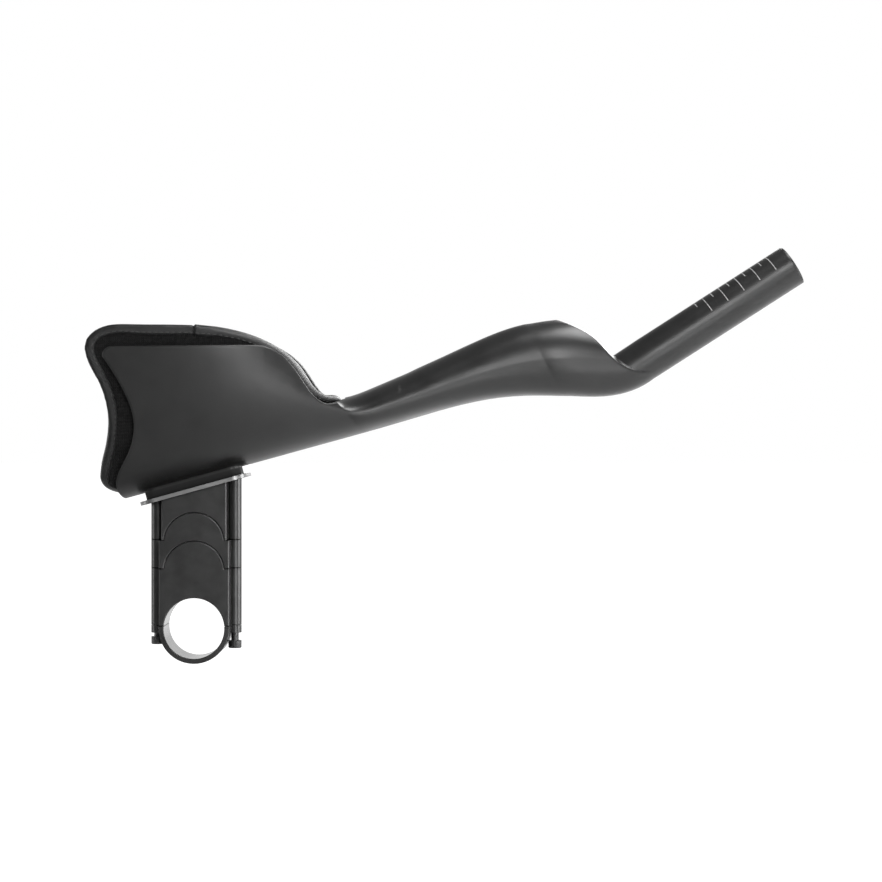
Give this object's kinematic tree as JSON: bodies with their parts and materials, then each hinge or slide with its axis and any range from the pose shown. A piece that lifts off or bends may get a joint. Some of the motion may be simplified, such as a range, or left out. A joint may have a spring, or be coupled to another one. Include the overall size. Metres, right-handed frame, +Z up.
{
  "type": "aero handlebar extension",
  "caption": "Clip-on aero handlebar extension: carbon arm cup, hand hump and shifter tube in one shell, with a bound pad, arched risers and a bar clamp.",
  "frame": {"origin": "centre of the handlebar clamp", "axes": "+X forward to the shifter tube, +Y along the clamped bar, +Z up"},
  "size_m": [0.374, 0.0988, 0.2194],
  "materials": {
    "carbon": "satin black carbon",
    "pad_fabric": "black knit over foam",
    "binding_tape": "black woven tape",
    "hook_tape": "black hook tape",
    "bare_aluminium": "bare",
    "anodised": "black anodised",
    "black_steel": "black oxide",
    "mark_print": "grey print"
  },
  "bodies": {
    "root": {"extension_shell": "carbon", "forearm_pad": "pad_fabric", "pad_binding": "binding_tape", "hook_patches": "hook_tape", "seat_plate": "bare_aluminium", "top_block": "anodised", "short_spacer": "anodised", "tall_spacer": "anodised", "clamp_strap": "anodised", "clamp_bolts": "black_steel", "cup_screws": "black_steel", "cup_washers": "bare_aluminium"}
  },
  "joints": []
}
